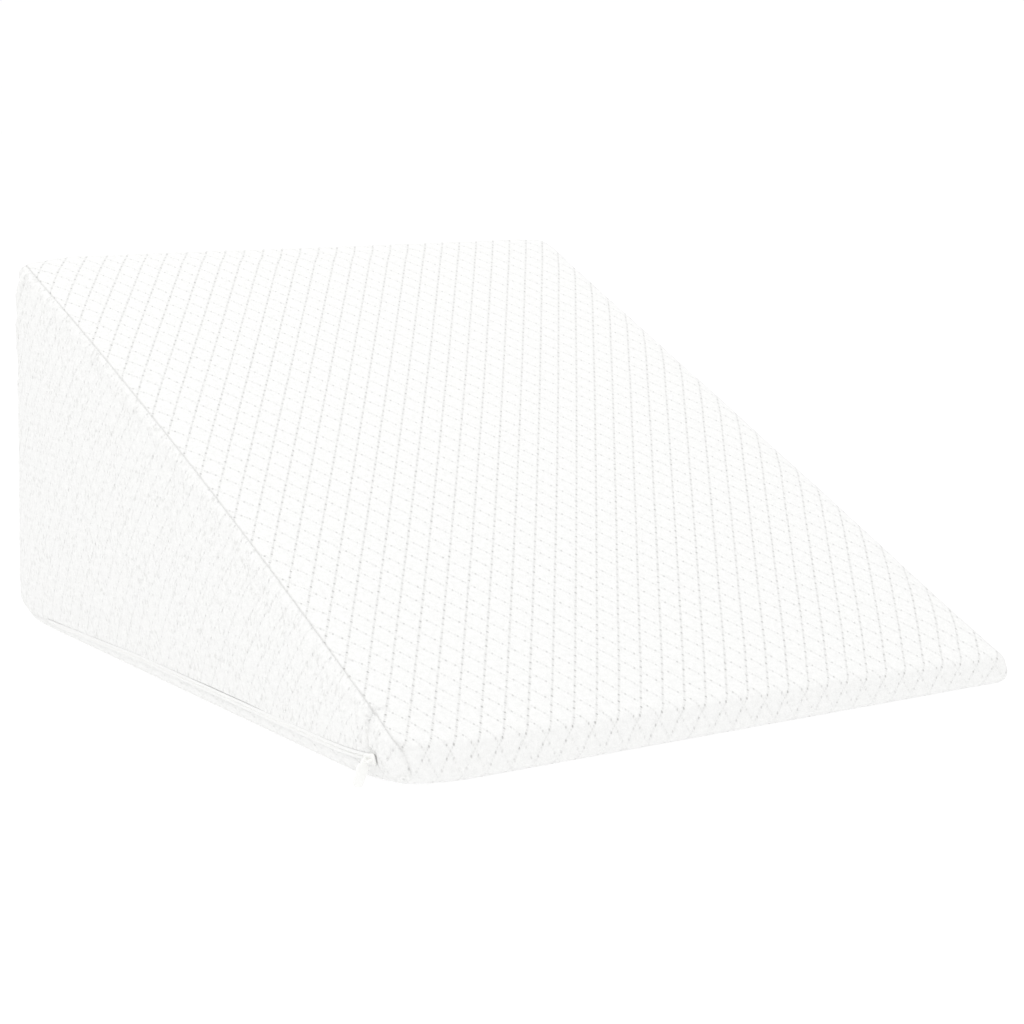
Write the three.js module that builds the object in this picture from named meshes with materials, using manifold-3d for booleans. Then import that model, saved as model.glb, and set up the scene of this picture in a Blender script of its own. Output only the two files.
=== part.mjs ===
// A leg pillow: a foam wedge in a fitted knitted cover, zipped along the foot of its left side.
// Millimetres, +Z up. The nose is at -Y and the tall back at +Y. The origin is on the floor, in the
// middle of the base.
import * as THREE from "three";
import { mergeVertices } from "three/addons/utils/BufferGeometryUtils.js";
import Module from "manifold-3d";

const wasm = await Module();
wasm.setup();

// The wedge
const width = 520; // between the side panels, over the foot, where the filling spreads most
const depth = 600; // from the nose to the back
const backHeight = 297; // where slope and back would meet without their rounding
const noseHeight = { left: 28, right: 22 }; // the foam is cut a little higher at the left
const noseEdge = { left: 18, right: 6 }; // radius with which the nose turns into each side panel

// What the filling does to the cover
const edgeCrown = 4.8; // rise of the slope's side seams in the middle of their length
const middleCrown = 3; // further rise of the slope between the seams
const drawnIn = 4; // how far those seams are pulled towards each other there
const lean = 6; // how far the side panels lean in from the foot to the slope
const sideBulge = 4;
const backBulge = 3;

// Corners of the wedge that the cover draws in where it is tight, or lets stand out where it is slack.
// by: how far the very corner moves. reach: how far round it the filling still gives way.
// side, end and up say which corner: left or right, nose or back, foot or top.
const softCorners = [
  { name: "left foot of the nose", side: -1, end: 0, up: 0, by: [4, 3, 6], reach: 68 },
  { name: "right foot of the nose", side: 1, end: 0, up: 0, by: [3, -1, 0], reach: 45 },
  { name: "left end of the top edge", side: -1, end: 1, up: 1, by: [4, -3, -7], reach: 62 },
  { name: "right end of the top edge", side: 1, end: 1, up: 1, by: [-2, -2, -3], reach: 40 },
];

// The faces of the wrap panel, in the order in which a section passes them from the nose's foot.
// corner: reach of the rounding at the end of the face, along it and along the next face.
// edge and inset: where the face turns into a side panel, the reach of that rounding across the face
// and down the side panel, which for the nose is its edge above. seamTurn: how far round it the seam
// lies, in degrees from the side panel.
const wrapFaces = [
  { name: "base", corner: [46, 24], cornerSteps: 7, edge: 14, inset: 22, seamTurn: 36 },
  { name: "back", corner: [14, 20], cornerSteps: 5, edge: 13, inset: 13, seamTurn: 50, steps: 8 },
  { name: "slope", corner: [8, 8], cornerSteps: 4, edge: 8, inset: 8, seamTurn: 68, steps: 26 },
  { name: "nose", corner: [8, 8], cornerSteps: 4, seamTurn: 45, steps: 2 },
];
const noseEdgeMargin = 8; // height of the nose that is left between its upper and lower rounding

// The groove of the seams between the wrap panel and the side panels: half its width at the cover's
// surface and at its floor, and its depth.
const seam = { mouth: 1.4, floor: 0.35, sink: 1.3 };

// The zip in the left foot seam, and its height over the floor on its way to the slider.
const zip = {
  front: -279,
  back: 238,
  mouth: 2.8,
  floor: 2.5,
  sink: 2,
  chainHalf: 2.1,
  chainTop: 0.4,
};
const zipPath = [
  { y: 238, z: 8.5 },
  { y: 138, z: 11.5 },
  { y: 60, z: 14.2 },
  { y: -215, z: 15 },
  { y: -274, z: 15.8 },
];
const gap = 0.3; // between neighbouring pieces
const sliderSeat = 0.62; // height of the slider over the cover, which is a little uneven there
const chainEndGap = 1.5; // between the ends of the chain and of its channel

// The slider and its pull. along: in the zip's direction. across: at a right angle to it.
const slider = {
  place: -274,
  along: 10.5,
  noseAcross: 7.5,
  tailAcross: 5.6,
  plate: 1.8,
  bevel: 0.4,
};
const bridge = { along: 7.6, across: 1.4, bar: 0.9, clear: 2.6, foot: 1.4 };
const pull = { long: 18, topWide: 4.2, endWide: 6, thick: 1, eyeLong: 3.2, eyeWide: 2.4, rim: 0.9 };
const pullSwivel = 15; // degrees by which the pull has turned on its bridge

// Places of the vertices: along the base, across the wedge, round the side edges and over the sides.
const baseStations = [zip.front, -268, -245, -215, -175, -125, -75, -25, 25, 75, 125, 170, 208, zip.back];
const acrossStations = [-205, -150, -90, -30, 30, 90, 150, 205];
const sideRings = [0.15, 0.35, 0.55, 0.72, 0.86, 0.95];
const sideMiddle = { y: 175, z: 115 };

const sideX = width / 2;
const back = depth / 2;
const front = -depth / 2;
const degrees = Math.PI / 180;
const { lerp, clamp, smoothstep, mapLinear } = THREE.MathUtils;

const point = (y, z) => new THREE.Vector2(y, z);
const between = (a, b, share) => a.clone().lerp(b, share);

// Where the lines a-b and c-d meet.
function crossing(a, b, c, d) {
  const ab = b.clone().sub(a);
  const cd = d.clone().sub(c);
  return a.clone().addScaledVector(ab, c.clone().sub(a).cross(cd) / ab.cross(cd));
}

// The sharp corners of a section, each at the end of its wrap face.
function outerCorners(nose) {
  return [point(back, 0), point(back, backHeight), point(front, nose), point(front, 0)];
}

// The same corners moved in by the radius of each face's edge, where the side panel lies flat.
function innerCorners(nose, faces) {
  const [base, rear, slope, tip] = faces.map((face) => face.inset);
  const slopeIn = point(backHeight - nose, -depth).setLength(slope);
  const lines = [
    [point(front, nose - noseEdgeMargin), point(back, base)],
    [point(back - rear, 0), point(back - rear, backHeight)],
    [point(back, backHeight).add(slopeIn), point(front, nose).add(slopeIn)],
    [point(front + tip, nose), point(front + tip, 0)],
  ];
  return lines.map((line, i) => crossing(...line, ...lines[(i + 1) % lines.length]));
}

// A closed section through four sharp corners, with those corners rounded. moved says whether the
// faces were moved in, which leaves less of their rounding.
function section(corners, faces, moved) {
  const points = [];
  const reach = (length, size, inset) => Math.min(Math.max(size - moved * inset, 2), 0.45 * length);
  faces.forEach((face, i) => {
    const before = faces.at(i - 1);
    const after = faces[(i + 1) % faces.length];
    const start = corners.at(i - 1);
    const end = corners[i];
    const nextEnd = corners[(i + 1) % corners.length];
    const length = start.distanceTo(end);
    const nextLength = end.distanceTo(nextEnd);
    const first = between(start, end, reach(length, before.corner[1], before.inset) / length);
    const last = between(end, start, reach(length, face.corner[0], face.inset) / length);
    const next = between(end, nextEnd, reach(nextLength, face.corner[1], after.inset) / nextLength);
    const shares = face.steps
      ? Array.from({ length: face.steps + 1 }, (_, k) => k / face.steps)
      : [0, ...baseStations.map((y) => (y - first.x) / (last.x - first.x)), 1];
    for (const share of shares) {
      const place = between(first, last, share);
      points.push({ face: face.name, place, edge: face.edge, seamTurn: face.seamTurn });
    }
    for (let k = 1; k < face.cornerSteps; k++) {
      const t = k / face.cornerSteps;
      const place = between(between(last, end, t), between(end, next, t), t);
      const edge = lerp(face.edge, after.edge, t);
      points.push({ face: face.name, place, edge, seamTurn: lerp(face.seamTurn, after.seamTurn, t) });
    }
  });
  return points;
}

// The cover's true place of a point of the plain wedge.
function filled(x, y, z, nose) {
  const along = (y - front) / depth;
  const up = z / lerp(nose, backHeight, along);
  const bow = Math.sin(Math.PI * clamp(along, 0, 1));
  const inside = 1 - (x / sideX) ** 2;
  const lift = up ** 3 * bow * (edgeCrown + middleCrown * inside);
  const push = backBulge * smoothstep(along, 0.9, 1) * (inside * Math.sin(Math.PI * clamp(up, 0, 1)) - 1);
  const pulled = x * (1 - (drawnIn * bow * up ** 2 + lean * up) / sideX);
  const place = new THREE.Vector3(pulled, y + push, z + lift);
  for (const { side, end, up: top, by, reach } of softCorners) {
    const sharp = new THREE.Vector3(side * sideX, lerp(front, back, end), top * backHeight);
    const share = clamp(1 - sharp.distanceTo(new THREE.Vector3(x, y, z)) / reach, 0, 1);
    place.addScaledVector(new THREE.Vector3(...by), share ** 2);
  }
  return place;
}

const noseAt = (x) => lerp(noseHeight.left, noseHeight.right, (x + sideX) / (2 * sideX));

// One side of the wedge: its outer and inner sections and the seam between them.
function sideOf(name) {
  const sign = name === "left" ? -1 : 1;
  const nose = noseHeight[name];
  const round = noseEdge[name];
  const faces = wrapFaces.map((face) => ({ edge: round, inset: round, ...face }));
  const outer = section(outerCorners(nose), faces, 0);
  const inner = section(innerCorners(nose, faces), faces, 1);
  return { sign, nose, faces, outer, inner, zipped: name === "left" };
}

function isZipped(side, i) {
  const { face, place } = side.outer[i];
  return side.zipped && face === "base" && place.x > zip.front - 1 && place.x < zip.back + 1;
}

// How far round the edge the seam lies at a point of a section, in radians.
function seamTurn(side, i) {
  const { place, seamTurn: plain } = side.outer[i];
  if (!isZipped(side, i)) return plain * degrees;
  const k = clamp(zipPath.filter(({ y }) => y >= place.x).length, 1, zipPath.length - 1);
  const [behind, ahead] = [zipPath[k - 1], zipPath[k]];
  const height = mapLinear(place.x, behind.y, ahead.y, behind.z, ahead.z);
  return Math.asin(1 - height / side.inner[i].place.y);
}

// The angle round the edge that covers a distance along its surface, near a given turn.
function turnOver(side, i, turn, distance) {
  const rise = side.outer[i].place.distanceTo(side.inner[i].place);
  return distance / Math.hypot(side.outer[i].edge * Math.sin(turn), rise * Math.cos(turn));
}

// A point of the rounded side edge: turn runs from the side panel (0) to the wrap panel (90 degrees),
// and sink is how far the point lies under the cover's surface.
function edgePoint(side, i, turn, sink) {
  const { place, edge } = side.outer[i];
  const radius = edge - sink;
  const share = (radius / edge) * Math.sin(turn);
  const at = between(side.inner[i].place, place, share);
  const x = sideX - edge + radius * Math.cos(turn);
  return filled(side.sign * x, at.x, at.y, side.nose);
}

// The rings of vertices from the flat of a side panel, through its seam, to the wrap panel.
function edgeRings(side) {
  const start = (groove, at) => Math.min(0, at(-groove.mouth)) - 0.1;
  const lanes = [
    (groove, at) => [start(groove, at), 0],
    (groove, at) => [lerp(start(groove, at), at(-groove.mouth), 0.5), 0],
    (groove, at) => [at(-groove.mouth), 0],
    (groove, at) => [at(-groove.floor), groove.sink],
    (groove, at) => [at(groove.floor), groove.sink],
    (groove, at) => [at(groove.mouth), 0],
    (groove, at) => [lerp(at(groove.mouth), Math.PI / 2, 0.5), 0],
    () => [Math.PI / 2, 0],
  ];
  return lanes.map((lane) =>
    side.outer.map((_, i) => {
      const groove = isZipped(side, i) ? zip : seam;
      const middle = seamTurn(side, i);
      const [turn, sink] = lane(groove, (distance) => middle + turnOver(side, i, middle, distance));
      return edgePoint(side, i, turn, sink);
    }),
  );
}

// The rings of a side panel, from its middle outwards.
function panelRings(side) {
  return sideRings.map((share) =>
    side.inner.map(({ place }) => {
      const x = sideX + sideBulge * (1 - share ** 2.5);
      const y = lerp(sideMiddle.y, place.x, share);
      const z = lerp(sideMiddle.z, place.y, share);
      return filled(side.sign * x, y, z, side.nose);
    }),
  );
}

function closedMesh(rings, firstTip, lastTip) {
  const size = rings[0].length;
  const vertices = [firstTip, ...rings.flat(), lastTip];
  const at = (ring, i) => 1 + ring * size + (i % size);
  const end = rings.length - 1;
  const triangles = [];
  for (let i = 0; i < size; i++) {
    triangles.push(0, at(0, i + 1), at(0, i));
    for (let ring = 0; ring < end; ring++) {
      triangles.push(at(ring, i), at(ring, i + 1), at(ring + 1, i + 1));
      triangles.push(at(ring, i), at(ring + 1, i + 1), at(ring + 1, i));
    }
    triangles.push(vertices.length - 1, at(end, i), at(end, i + 1));
  }
  const geometry = new THREE.BufferGeometry().setFromPoints(vertices);
  geometry.setIndex(triangles);
  geometry.computeVertexNormals();
  return geometry;
}

const left = sideOf("left");
const right = sideOf("right");

function wedgeGeometry() {
  const tip = ({ sign, nose }) => filled(sign * (sideX + sideBulge), sideMiddle.y, sideMiddle.z, nose);
  const middleRings = acrossStations.map((x) => {
    const points = section(outerCorners(noseAt(x)), left.faces, 0);
    return points.map(({ place }) => filled(x, place.x, place.y, noseAt(x)));
  });
  const leftRings = [...panelRings(left), ...edgeRings(left)];
  const rightRings = [...panelRings(right), ...edgeRings(right)];
  return closedMesh([...leftRings, ...middleRings, ...rightRings.reverse()], tip(left), tip(right));
}

// The points of the left edge along which the zip runs.
const zipPoints = left.outer.map((_, i) => i).filter((i) => isZipped(left, i));

// The closed chain: a thin strip in the channel of the foot seam.
function chainGeometry() {
  const corners = [
    [-zip.chainHalf, zip.sink - gap],
    [zip.chainHalf, zip.sink - gap],
    [zip.chainHalf, zip.chainTop],
    [-zip.chainHalf, zip.chainTop],
  ];
  const rings = zipPoints.map((i) => {
    const turn = seamTurn(left, i);
    return corners.map(([offset, sink]) => edgePoint(left, i, turn + turnOver(left, i, turn, offset), sink));
  });
  const shorten = (ring, next) => {
    const share = chainEndGap / ring[0].distanceTo(next[0]);
    ring.forEach((corner, k) => corner.lerp(next[k], share));
  };
  shorten(rings[0], rings[1]);
  shorten(rings.at(-1), rings.at(-2));
  const middle = (ring) => ring[0].clone().lerp(ring[2], 0.5);
  return closedMesh(rings, middle(rings[0]), middle(rings.at(-1)));
}

// A plate of the given outline with softened edges, lying on the XY plane.
function plate(outline, thick, bevel) {
  const made = new THREE.ExtrudeGeometry(outline, {
    depth: thick - 2 * bevel,
    bevelThickness: bevel,
    bevelSize: bevel,
    bevelOffset: -bevel,
    bevelSegments: 2,
    curveSegments: 6,
  });
  return made.translate(0, 0, bevel);
}

function solid(geometry) {
  const bare = geometry.clone().deleteAttribute("normal").deleteAttribute("uv");
  const merged = mergeVertices(bare, 1e-4);
  return new wasm.Manifold(
    new wasm.Mesh({
      numProp: 3,
      vertProperties: merged.attributes.position.array,
      triVerts: new Uint32Array(merged.index.array),
    }),
  );
}

function geometryOf(manifold) {
  const { vertProperties, triVerts } = manifold.getMesh();
  const geometry = new THREE.BufferGeometry();
  geometry.setAttribute("position", new THREE.BufferAttribute(vertProperties, 3));
  geometry.setIndex(new THREE.BufferAttribute(triVerts, 1));
  geometry.computeVertexNormals();
  return geometry;
}

// The slider, with X along the zip and Z away from the cover: a tapered plate and the bridge over it.
function sliderGeometry() {
  const end = slider.along / 2;
  const nose = slider.noseAcross / 2;
  const tail = slider.tailAcross / 2;
  const outline = new THREE.Shape();
  outline.moveTo(-end + 1.5, -nose);
  outline.lineTo(end - 1, -tail);
  outline.quadraticCurveTo(end, -tail, end, -tail + 1);
  outline.lineTo(end, tail - 1);
  outline.quadraticCurveTo(end, tail, end - 1, tail);
  outline.lineTo(-end + 1.5, nose);
  outline.quadraticCurveTo(-end, nose, -end, 0);
  outline.quadraticCurveTo(-end, -nose, -end + 1.5, -nose);
  const span = bridge.along / 2;
  const rise = bridge.clear + bridge.bar;
  const inside = span - bridge.foot;
  const arch = new THREE.Shape();
  arch.moveTo(-span, -slider.bevel);
  arch.lineTo(-inside, -slider.bevel);
  arch.lineTo(-inside, bridge.clear - 0.8);
  arch.quadraticCurveTo(-inside, bridge.clear, -inside + 0.8, bridge.clear);
  arch.lineTo(inside - 0.8, bridge.clear);
  arch.quadraticCurveTo(inside, bridge.clear, inside, bridge.clear - 0.8);
  arch.lineTo(inside, -slider.bevel);
  arch.lineTo(span, -slider.bevel);
  arch.lineTo(span, rise - 1.6);
  arch.quadraticCurveTo(span, rise, span - 1.6, rise);
  arch.lineTo(-span + 1.6, rise);
  arch.quadraticCurveTo(-span, rise, -span, rise - 1.6);
  const over = plate(arch, bridge.across, 0.2).translate(0, 0, -bridge.across / 2).rotateX(Math.PI / 2);
  over.translate(0, 0, slider.plate);
  return geometryOf(solid(plate(outline, slider.plate, slider.bevel)).add(solid(over)));
}

const barReach = Math.hypot(bridge.bar, bridge.across) / 2;
const pullTop = pull.rim + gap + barReach;

// The pull, which hangs towards -Y from the bridge's bar at its origin, its thickness along Z.
function pullGeometry() {
  const top = pullTop;
  const bottom = top - pull.long;
  const [narrow, wide] = [pull.topWide / 2, pull.endWide / 2];
  const outline = new THREE.Shape();
  outline.moveTo(-narrow, top - 1.4);
  outline.lineTo(-wide, bottom + wide);
  outline.absarc(0, bottom + wide, wide, Math.PI, 2 * Math.PI, false);
  outline.lineTo(narrow, top - 1.4);
  outline.quadraticCurveTo(narrow, top, narrow - 1.4, top);
  outline.lineTo(-narrow + 1.4, top);
  outline.quadraticCurveTo(-narrow, top, -narrow, top - 1.4);
  const eye = new THREE.Path();
  const half = pull.eyeWide / 2;
  const eyeTop = top - pull.rim;
  const eyeEnd = eyeTop - pull.eyeLong;
  eye.moveTo(-half, eyeTop);
  eye.lineTo(-half, eyeEnd + half);
  eye.absarc(0, eyeEnd + half, half, Math.PI, 2 * Math.PI, false);
  eye.lineTo(half, eyeTop);
  outline.holes.push(eye);
  return plate(outline, pull.thick, 0.2).translate(0, 0, -pull.thick / 2);
}

function mesh(name, geometry, colour, roughness) {
  const material = new THREE.MeshStandardMaterial({ color: colour, roughness, metalness: 0 });
  const made = new THREE.Mesh(geometry, material);
  made.name = name;
  return made;
}

// Seats the slider on the cover over the front end of the chain, and hangs the pull on its bridge.
function zipEnd() {
  const [first, second] = zipPoints.map((i) => edgePoint(left, i, seamTurn(left, i), 0));
  const share = (slider.place - first.y) / (second.y - first.y);
  const along = second.clone().sub(first).normalize();
  const turn = seamTurn(left, zipPoints[0]);
  const out = new THREE.Vector3(-Math.cos(turn), 0, -Math.sin(turn));
  out.addScaledVector(along, -out.dot(along)).normalize();
  const across = out.clone().cross(along);
  const body = mesh("zip_slider", sliderGeometry(), 0xf3f3f1, 0.35);
  body.position.copy(first).lerp(second, share).addScaledVector(out, sliderSeat);
  body.quaternion.setFromRotationMatrix(new THREE.Matrix4().makeBasis(along, across, out));
  const bar = slider.plate + bridge.clear + bridge.bar / 2;
  const hook = body.position.clone().addScaledVector(out, bar);
  const tab = mesh("zip_pull", pullGeometry(), 0xf6f6f4, 0.4);
  tab.position.copy(hook);
  tab.rotation.set(Math.PI / 2, 0, pullSwivel * degrees, "ZYX");
  return [body, tab];
}

const pillow = new THREE.Group();
pillow.add(mesh("wedge_cushion", wedgeGeometry(), 0xf4f4f3, 0.9));
pillow.add(mesh("zip_chain", chainGeometry(), 0xe9e9e8, 0.6));
pillow.add(...zipEnd());

export default pillow;
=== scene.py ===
import math

import bpy
import numpy as np
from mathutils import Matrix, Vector, geometry, noise
from mathutils.kdtree import KDTree


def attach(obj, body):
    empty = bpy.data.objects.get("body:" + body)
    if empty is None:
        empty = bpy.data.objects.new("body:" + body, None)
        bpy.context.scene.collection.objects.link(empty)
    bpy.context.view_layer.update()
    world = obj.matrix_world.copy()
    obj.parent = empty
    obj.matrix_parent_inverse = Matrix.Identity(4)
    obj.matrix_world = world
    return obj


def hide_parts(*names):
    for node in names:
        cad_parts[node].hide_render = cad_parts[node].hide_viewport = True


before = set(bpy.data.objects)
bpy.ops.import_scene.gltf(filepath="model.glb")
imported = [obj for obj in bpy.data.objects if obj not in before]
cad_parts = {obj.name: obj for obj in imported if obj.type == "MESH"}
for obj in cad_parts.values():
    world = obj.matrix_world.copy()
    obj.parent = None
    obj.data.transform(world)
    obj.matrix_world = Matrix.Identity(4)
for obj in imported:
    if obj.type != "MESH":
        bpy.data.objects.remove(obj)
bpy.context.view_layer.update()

bpy.ops.object.select_all(action="DESELECT")
print("frame loaded:", ", ".join(sorted(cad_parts)))

mm = 0.001


# Camera and studio
view = {
    "eye": (-0.949, -1.488, 0.4117),
    "heading": 33.24,  # degrees to the right of +Y
    "downwards": 9.815,
    "lens": 82.91,
}
studio = {
    "floorSize": 60.0,
    "floorDrop": 0.0003,
    "floorColour": "#A0A0A0",
    "floorGlow": 0.68,
    "roomColour": "#FFFFFF",
    "roomStrength": 1.01,
    "topLight": {"place": (-0.4, 0.1, 3.2), "size": 2.0, "power": 12.8},
    "leftLight": {"place": (-2.6, -1.2, 1.0), "size": 1.6, "power": 2.1},
}


def toLinear(code):
    parts = [int(code[i : i + 2], 16) / 255 for i in (1, 3, 5)]
    return (*[c / 12.92 if c <= 0.04045 else ((c + 0.055) / 1.055) ** 2.4 for c in parts], 1.0)


def addNode(tree, kind, inputs=None, **settings):
    node = tree.nodes.new(kind)
    for name, value in settings.items():
        setattr(node, name, value)
    for socket, value in (inputs or {}).items():
        if isinstance(value, bpy.types.Node):
            value = value.outputs[0]
        if isinstance(value, bpy.types.NodeSocket):
            tree.links.new(value, node.inputs[socket])
        else:
            node.inputs[socket].default_value = value
    return node


def newMaterial(name):
    material = bpy.data.materials.new(name)
    material.use_nodes = True
    tree = material.node_tree
    tree.nodes.clear()
    shader = addNode(tree, "ShaderNodeBsdfPrincipled")
    addNode(tree, "ShaderNodeOutputMaterial", {"Surface": shader})
    return material, tree, shader


def placeCamera():
    data = bpy.data.cameras.new("camera")
    data.lens = view["lens"]
    data.sensor_width = 36
    camera = bpy.data.objects.new("camera", data)
    camera.location = view["eye"]
    camera.rotation_euler = (math.radians(90 - view["downwards"]), 0, math.radians(-view["heading"]))
    bpy.context.scene.collection.objects.link(camera)
    bpy.context.scene.camera = camera


def placeLight(name, place, size, power):
    data = bpy.data.lights.new(name, "AREA")
    data.shape = "DISK"
    data.size = size
    data.energy = power
    light = bpy.data.objects.new(name, data)
    light.location = place
    light.rotation_euler = (-Vector(place)).to_track_quat("-Z", "Y").to_euler()
    bpy.context.scene.collection.objects.link(light)


def buildStudio():
    bpy.context.scene.view_settings.view_transform = "Standard"
    world = bpy.data.worlds.new("soft white room")
    world.use_nodes = True
    world.node_tree.nodes.clear()
    room = addNode(world.node_tree, "ShaderNodeBackground",
                   {"Color": toLinear(studio["roomColour"]), "Strength": studio["roomStrength"]})
    addNode(world.node_tree, "ShaderNodeOutputWorld", {"Surface": room})
    bpy.context.scene.world = world
    placeLight("top softbox", **studio["topLight"])
    placeLight("left softbox", **studio["leftLight"])

    bpy.ops.mesh.primitive_plane_add(size=studio["floorSize"], location=(0, 0, -studio["floorDrop"]))
    floor = bpy.context.object
    floor.name = "floor"
    # moulded opal acrylic, matt on top and lit from below as in a product studio: an even white
    material, tree, shader = newMaterial("opal acrylic shooting table, lit from below")
    grain = addNode(tree, "ShaderNodeTexNoise", {"Scale": 40.0, "Detail": 3.0})
    tone = addNode(tree, "ShaderNodeMapRange", {"Value": grain, "To Min": 0.78, "To Max": 0.82})
    tree.links.new(tone.outputs[0], shader.inputs["Roughness"])
    shader.inputs["Base Color"].default_value = toLinear(studio["floorColour"])
    shader.inputs["Emission Color"].default_value = (1, 1, 1, 1)
    shader.inputs["Emission Strength"].default_value = studio["floorGlow"]
    floor.data.materials.append(material)


placeCamera()
buildStudio()
print("camera and studio ready")


# The filled wedge. Lengths here are in millimetres until its mesh is made.
wedge = {
    "width": 520.0,
    "depth": 600.0,
    "backHeight": 297.0,
    "noseHeight": {"left": 28.0, "right": 22.0},
    "noseEdge": {"left": 18.0, "right": 6.0},
    "edgeCrown": 4.8,
    "middleCrown": 3.0,
    "drawnIn": 4.0,
    "lean": 6.0,
    "sideBulge": 4.0,
    "backBulge": 3.0,
    "noseEdgeMargin": 8.0,
    "sideMiddle": (175.0, 115.0),
    "softCorners": [
        {"side": -1, "end": 0, "up": 0, "by": (4, 3, 6), "reach": 68},
        {"side": 1, "end": 0, "up": 0, "by": (3, -1, 0), "reach": 45},
        {"side": -1, "end": 1, "up": 1, "by": (4, -3, -7), "reach": 62},
        {"side": 1, "end": 1, "up": 1, "by": (-2, -2, -3), "reach": 40},
    ],
    # the wrap panel's faces from the nose's foot on: base, back, slope, nose
    "faces": [
        {"corner": (46, 24), "cornerSteps": 8, "edge": 14, "inset": 22, "seamTurn": 36},
        {"corner": (14, 20), "cornerSteps": 7, "edge": 13, "inset": 13, "seamTurn": 50, "steps": 88},
        {"corner": (5, 5), "cornerSteps": 5, "edge": 8, "inset": 8, "seamTurn": 66, "steps": 216},
        {"corner": (8, 8), "cornerSteps": 5, "seamTurn": 45, "steps": 5},
    ],
    # turns of the seam on its way over the left of the nose: from this y on, at the nose's top, and at its foot
    "leftNoseSeam": {"from": -270, "top": 47, "under": 48, "foot": 82},
    # and from the foot back to the zip: by share of the way, the turn there
    "toZip": ((0.3, 80), (0.55, 54), (0.75, 30), (0.9, 15)),
    "baseRows": 60,
    "rowsBehindZip": (0.1, 0.5, 1),  # by share of the way to the back
    "columns": 149,
    "columnsEnd": 238.0,
    "panelGrid": 3.3,
    "finerMats": ((2, 10), (4, 5), (7, 2.5)),  # how much finer than the panel's grid, and how near to a fold
}
# Short folds of the left side panel, each through points (y, z)
folds = [
    {"path": [(-259, 54), (-261.8, 48), (-265.3, 39.4), (-267.6, 30.4), (-269.9, 22.7), (-273, 16)],
     "deep": 2.4, "wide": 1.1},
    {"path": [(-240, 55), (-244, 46), (-246, 36)], "deep": 0.9, "wide": 3.0},
    # the cover stands up a little in front of the slider
    {"path": [(-282.4, 24), (-282.2, 17.5), (-282, 11)], "deep": -1.0, "wide": 2.3},
    {"path": [(264, 280), (276, 268), (287, 250), (293, 228)], "deep": 2.6, "wide": 2.2},
    {"path": [(277, 285), (287, 275), (294, 258)], "deep": 2.8, "wide": 2.0},
    {"path": [(280, 236), (289, 208), (295, 180)], "deep": 2.0, "wide": 2.4},
]
seam = {"mouth": 0.6, "floor": 0.15, "sink": 0.5}
zipChannel = {
    "front": -279.0,
    "back": 238.0,
    "mouth": 2.8,
    "floor": 2.55,
    "sink": 0.3,
    "sliderEnd": -267.0,  # in front of here the channel lies under the slider, and is shallow
    "underSlider": 0.35,
    "tuckedIn": 0.2,  # share of the seam's depth left between the nose's foot and the zip
    "pathY": (-274.0, -215.0, 60.0, 138.0, 238.0),
    "pathZ": (15.8, 15.0, 14.2, 11.5, 8.5),
}
sideX = wedge["width"] / 2
front, back = -wedge["depth"] / 2, wedge["depth"] / 2
backHeight = wedge["backHeight"]


def smoothstep(x, low, high):
    t = np.clip((x - low) / (high - low), 0, 1)
    return t * t * (3 - 2 * t)


def filled(x, y, z, nose):
    # the cover's true place of a point of the plain wedge
    along = (y - front) / wedge["depth"]
    up = z / (nose + (backHeight - nose) * along)
    bow = np.sin(np.pi * np.clip(along, 0, 1))
    inside = 1 - (x / sideX) ** 2
    lift = up**3 * bow * (wedge["edgeCrown"] + wedge["middleCrown"] * inside)
    push = wedge["backBulge"] * smoothstep(along, 0.9, 1) * (inside * np.sin(np.pi * np.clip(up, 0, 1)) - 1)
    pulled = x * (1 - (wedge["drawnIn"] * bow * up**2 + wedge["lean"] * up) / sideX)
    place = np.stack([pulled, y + push, z + lift], -1)
    raw = np.stack([x, y, z], -1)
    for corner in wedge["softCorners"]:
        sharp = np.array([corner["side"] * sideX, back if corner["end"] else front, corner["up"] * backHeight])
        share = np.clip(1 - np.linalg.norm(raw - sharp, axis=-1) / corner["reach"], 0, 1)
        place += np.array(corner["by"], float) * (share**2)[..., None]
    return place


def crossing(a, b, c, d):
    ab, cd, ac = b - a, d - c, c - a
    return a + ab * (ac[0] * cd[1] - ac[1] * cd[0]) / (ab[0] * cd[1] - ab[1] * cd[0])


def outerCorners(nose):
    return np.array([(back, 0), (back, backHeight), (front, nose), (front, 0)], float)


def innerCorners(nose, faces):
    base, rear, slope, tip = (face["inset"] for face in faces)
    slopeIn = np.array([backHeight - nose, -wedge["depth"]])
    slopeIn *= slope / np.linalg.norm(slopeIn)
    lines = np.array([
        [(front, nose - wedge["noseEdgeMargin"]), (back, base)],
        [(back - rear, 0), (back - rear, backHeight)],
        [slopeIn + (back, backHeight), slopeIn + (front, nose)],
        [(front + tip, nose), (front + tip, 0)],
    ], float)
    return np.array([crossing(*lines[i], *lines[(i + 1) % 4]) for i in range(4)])


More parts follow.
